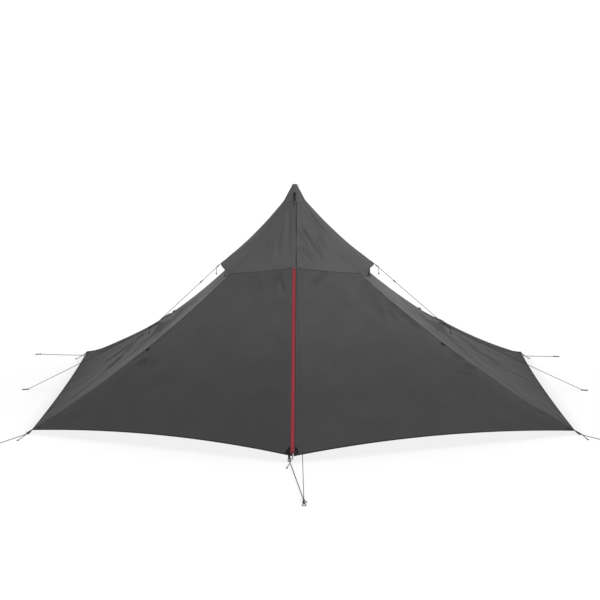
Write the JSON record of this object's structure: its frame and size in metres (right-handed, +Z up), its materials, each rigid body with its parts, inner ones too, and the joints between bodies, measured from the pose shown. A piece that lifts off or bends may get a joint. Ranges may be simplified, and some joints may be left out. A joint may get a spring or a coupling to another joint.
{
  "type": "single-pole shelter tent",
  "caption": "Six-sided single-pole shelter tent with hooded side vents, a zipped door at the front and rear, side tie-outs and pegged guy lines.",
  "frame": {"origin": "middle of the pole's foot, on the ground", "axes": "+X towards the right side, along the long side of the base; -Y towards the front door; +Z up the pole"},
  "size_m": [4.6154, 5.1864, 1.63],
  "materials": {
    "canopy_cloth": "coated grey nylon, slight sheen",
    "top_cloth": "coated grey nylon, slight sheen",
    "cap_cloth": "stiff laminated reinforcement, matt",
    "vent_mesh": "fine black insect mesh",
    "zip_red": "woven red zip tape and coil",
    "zip_metal": "black enamelled die casting",
    "black_hardware": "black moulded plastic and webbing",
    "guy_cord": "braided grey cord",
    "pole_tube": "anodised, satin",
    "pole_rubber": "matt black rubber"
  },
  "bodies": {
    "canopy": {"top_panel_front": "top_cloth", "door_surround_front_left": "canopy_cloth", "door_surround_front_right": "canopy_cloth", "door_lock_front": "black_hardware", "peak_lock_front": "black_hardware", "door_line_front": "guy_cord", "peak_line_front": "guy_cord", "corner_lock_front_left": "black_hardware", "ridge_toggle_front_left": "black_hardware", "corner_line_front_left": "guy_cord", "corner_lock_front_right": "black_hardware", "ridge_toggle_front_right": "black_hardware", "corner_line_front_right": "guy_cord", "top_panel_rear": "top_cloth", "door_surround_rear_left": "canopy_cloth", "door_surround_rear_right": "canopy_cloth", "door_lock_rear": "black_hardware", "peak_lock_rear": "black_hardware", "door_line_rear": "guy_cord", "peak_line_rear": "guy_cord", "corner_lock_rear_left": "black_hardware", "ridge_toggle_rear_left": "black_hardware", "corner_line_rear_left": "guy_cord", "corner_lock_rear_right": "black_hardware", "ridge_toggle_rear_right": "black_hardware", "corner_line_rear_right": "guy_cord", "hood_left": "top_cloth", "side_panel_left": "canopy_cloth", "vent_net_left": "vent_mesh", "tie_out_left": "black_hardware", "hood_lock_left": "black_hardware", "side_line_left": "guy_cord", "hood_line_left": "guy_cord", "hood_right": "top_cloth", "side_panel_right": "canopy_cloth", "vent_net_right": "vent_mesh", "tie_out_right": "black_hardware", "hood_lock_right": "black_hardware", "side_line_right": "guy_cord", "hood_line_right": "guy_cord", "peak_cap": "cap_cloth", "pole_upper": "pole_tube", "pole_clamp": "black_hardware"},
    "door_front_left": {"door_front_left": "canopy_cloth", "zip_chain_front": "zip_red"},
    "door_front_right": {"door_front_right": "canopy_cloth", "zip_tape_front": "zip_red"},
    "zip_slider_front": {"zip_slider_front": "zip_metal"},
    "zip_pull_front": {"zip_pull_front": "black_hardware"},
    "door_rear_left": {"door_rear_left": "canopy_cloth", "zip_chain_rear": "zip_red"},
    "door_rear_right": {"door_rear_right": "canopy_cloth", "zip_tape_rear": "zip_red"},
    "zip_slider_rear": {"zip_slider_rear": "zip_metal"},
    "zip_pull_rear": {"zip_pull_rear": "black_hardware"},
    "lower_pole": {"pole_lower": "pole_tube", "pole_foot": "pole_rubber"},
    "pole_lever": {"pole_lever": "black_hardware"},
    "slide_lock_left": {"slide_lock_left": "black_hardware"},
    "slide_lock_right": {"slide_lock_right": "black_hardware"}
  },
  "joints": [
    {"name": "door_front_left_fold", "type": "hinge", "parent": "canopy", "child": "door_front_left", "pos_m": [-0.88251, -0.83017, 0.54351], "axis": [-0.8125, -0.316, -0.4899], "range_deg": [0, 120]},
    {"name": "door_front_right_fold", "type": "hinge", "parent": "canopy", "child": "door_front_right", "pos_m": [0.95038, -0.82951, 0.54339], "axis": [-0.8328, 0.2993, 0.4657], "range_deg": [0, 120]},
    {"name": "zip_front_slide", "type": "slide", "parent": "door_front_left", "child": "zip_slider_front", "axis": [0, 0.7705, 0.6374], "range_m": [0, 1.52]},
    {"name": "zip_front_pull_swing", "type": "hinge", "parent": "zip_slider_front", "child": "zip_pull_front", "pos_m": [0, -1.73295, 0.05332], "axis": [-1, 0, 0], "range_deg": [0, 165]},
    {"name": "door_rear_left_fold", "type": "hinge", "parent": "canopy", "child": "door_rear_left", "pos_m": [-0.88248, 0.83024, 0.55306], "axis": [0.816, -0.3173, 0.4831], "range_deg": [0, 120]},
    {"name": "door_rear_right_fold", "type": "hinge", "parent": "canopy", "child": "door_rear_right", "pos_m": [0.95036, 0.82957, 0.55297], "axis": [0.8361, 0.3005, -0.459], "range_deg": [0, 120]},
    {"name": "zip_rear_slide", "type": "slide", "parent": "door_rear_left", "child": "zip_slider_rear", "axis": [0, -0.7705, 0.6374], "range_m": [0, 1.52]},
    {"name": "zip_rear_pull_swing", "type": "hinge", "parent": "zip_slider_rear", "child": "zip_pull_rear", "pos_m": [0, 1.73295, 0.05332], "axis": [1, 0, 0], "range_deg": [0, 165]},
    {"name": "pole_telescope", "type": "slide", "parent": "canopy", "child": "lower_pole", "axis": [0, 0, 1], "range_m": [0, 0.3]},
    {"name": "pole_lever_swing", "type": "hinge", "parent": "canopy", "child": "pole_lever", "pos_m": [0.0235, 0, 0.8297], "axis": [0, 0, -1], "range_deg": [0, 110]},
    {"name": "slide_lock_left_run", "type": "slide", "parent": "canopy", "child": "slide_lock_left", "axis": [-0.7321, 0.0002, -0.6812], "range_m": [-0.14, 0.4]},
    {"name": "slide_lock_right_run", "type": "slide", "parent": "canopy", "child": "slide_lock_right", "axis": [0.7551, 0.0002, -0.6556], "range_m": [-0.14, 0.4]}
  ]
}
